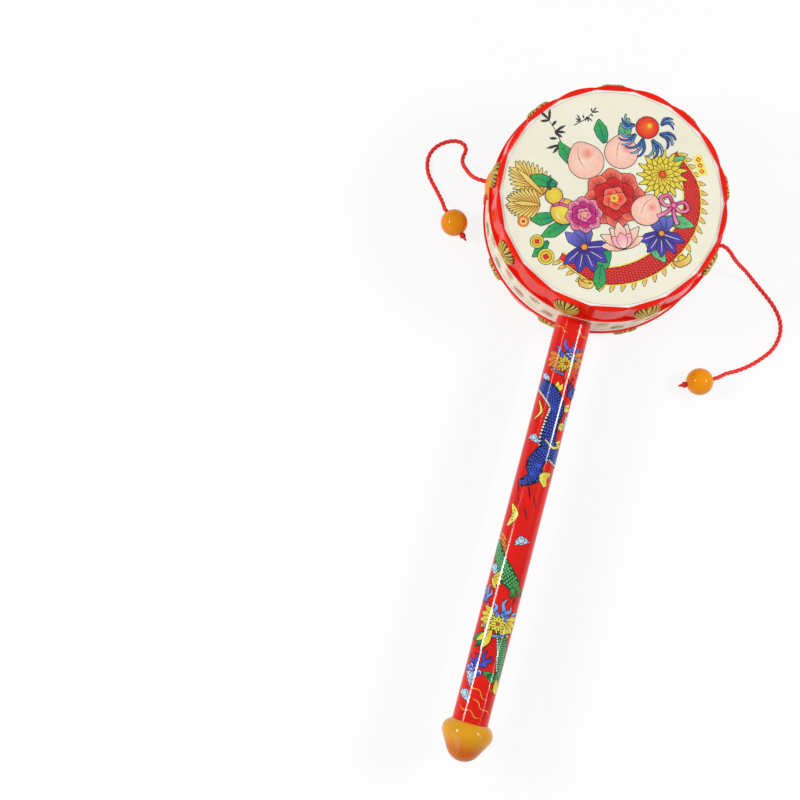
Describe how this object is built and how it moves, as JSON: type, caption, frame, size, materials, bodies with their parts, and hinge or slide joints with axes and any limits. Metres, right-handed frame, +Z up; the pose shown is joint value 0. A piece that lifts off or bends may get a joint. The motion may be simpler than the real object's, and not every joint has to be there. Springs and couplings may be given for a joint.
{
  "type": "pellet drum rattle",
  "caption": "Two-headed hand drum in lobed red rings with gold rosettes, on a capped tube handle, with two corded beads that strike its heads when the handle is twirled",
  "frame": {"origin": "on the surface that it lies on, under the middle of the box round the drum, handle and beads", "axes": "+Z up along the drum's axis, from the back head to the front head; the handle points to -Y; the cords leave the drum to -X and +X"},
  "size_m": [0.1697, 0.2824, 0.048],
  "materials": {
    "ring": "moulded, high gloss, bright red",
    "rosette": "olive gold paint, with dark brown grooves",
    "head": "tight cream film printed in many colours",
    "shell": "plain red, hidden by the band",
    "band": "cream paper with a small faded print",
    "tube": "glossy red",
    "sleeve": "glossy red film printed in blue, green and gold",
    "amber": "moulded, glossy amber",
    "cord": "red twisted cord"
  },
  "bodies": {
    "drum": {"front_ring": "ring", "back_ring": "ring", "front_head": "head", "back_head": "head", "drum_shell": "shell", "side_band": "band", "front_rosette_1": "rosette", "front_rosette_2": "rosette", "front_rosette_3": "rosette", "front_rosette_4": "rosette", "front_rosette_5": "rosette", "front_rosette_6": "rosette", "front_rosette_7": "rosette", "front_rosette_8": "rosette", "front_rosette_9": "rosette", "back_rosette_1": "rosette", "back_rosette_2": "rosette", "back_rosette_3": "rosette", "back_rosette_4": "rosette", "back_rosette_5": "rosette", "back_rosette_6": "rosette", "back_rosette_7": "rosette", "back_rosette_8": "rosette", "back_rosette_9": "rosette", "left_plug": "amber", "right_plug": "amber", "left_stopper_knot": "cord", "right_stopper_knot": "cord", "left_cord_tail": "cord", "handle_socket": "shell", "handle_tube": "tube", "handle_sleeve": "sleeve", "end_cap": "amber"},
    "left_striker": {"left_cord": "cord", "left_end_knot": "cord"},
    "left_ball": {"left_bead": "amber"},
    "right_striker": {"right_cord": "cord", "right_end_knot": "cord"},
    "right_ball": {"right_bead": "amber"}
  },
  "joints": [
    {"name": "left_swing", "type": "hinge", "parent": "drum", "child": "left_striker", "pos_m": [-0.051, 0.0919, 0.024], "axis": [0, 1, 0], "range_deg": [-12, 132], "deforming": ["left_cord"]},
    {"name": "left_spin", "type": "hinge", "parent": "left_striker", "child": "left_ball", "pos_m": [-0.0591, 0.0761, 0.00585], "axis": [0.7431, -0.6691, 0], "continuous": true},
    {"name": "right_swing", "type": "hinge", "parent": "drum", "child": "right_striker", "pos_m": [0.051, 0.0919, 0.024], "axis": [0, -1, 0], "range_deg": [-12, 132], "deforming": ["right_cord"]},
    {"name": "right_spin", "type": "hinge", "parent": "right_striker", "child": "right_ball", "pos_m": [0.0605, 0.0371, 0.00585], "axis": [-0.891, -0.454, 0], "continuous": true}
  ]
}
